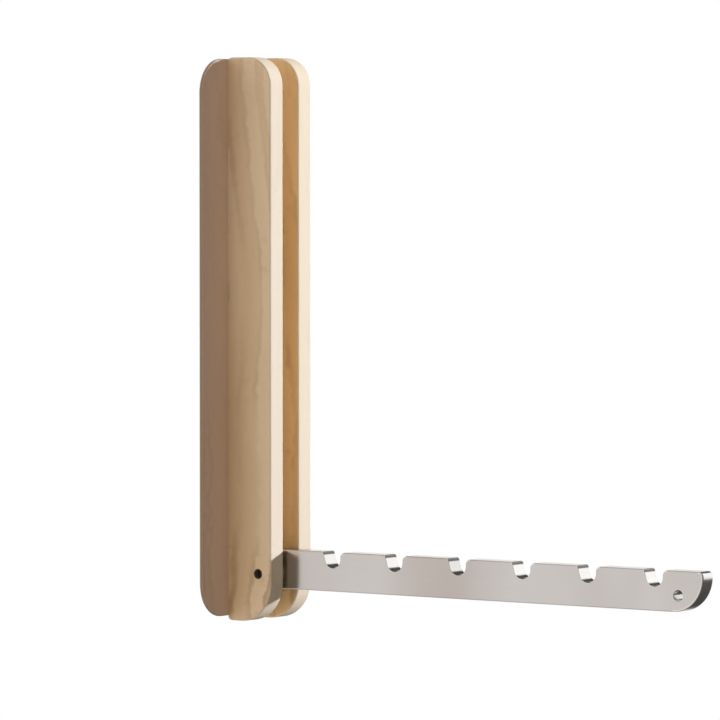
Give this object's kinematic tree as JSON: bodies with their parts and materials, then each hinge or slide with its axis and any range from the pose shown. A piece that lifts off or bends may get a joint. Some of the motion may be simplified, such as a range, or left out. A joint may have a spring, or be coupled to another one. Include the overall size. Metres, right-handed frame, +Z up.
{
  "type": "fold-away wall hook",
  "caption": "Wall hook with a wooden back plate and cheeks, and a notched flat steel arm that folds up into the slot between the cheeks",
  "frame": {"origin": "on the flat back of the back plate, midway between the two wall screws", "axes": "+Z up, +Y into the wall, +X to the right seen from the room; the arm is folded out along -Y"},
  "size_m": [0.098, 0.3545, 0.357],
  "materials": {
    "maple": "clear satin lacquer over sanded maple",
    "brushed_stainless": "brushed along the bar, bright in the notches",
    "pin_steel": "ground",
    "nylon": "natural nylon",
    "zinc_plate": "bright zinc plate",
    "rubber": "matt"
  },
  "bodies": {
    "base": {"back_plate": "maple", "left_cheek": "maple", "right_cheek": "maple", "pivot_pin": "pin_steel", "cheek_screws": "zinc_plate", "heel_plate": "brushed_stainless", "heel_plate_screws": "zinc_plate", "fold_bumper": "rubber"},
    "arm": {"arm": "brushed_stainless", "left_bush": "nylon", "right_bush": "nylon"}
  },
  "joints": [
    {"name": "arm_fold", "type": "hinge", "parent": "base", "child": "arm", "pos_m": [0, -0.033, -0.148], "axis": [-1, 0, 0], "range_deg": [0, 90]}
  ]
}
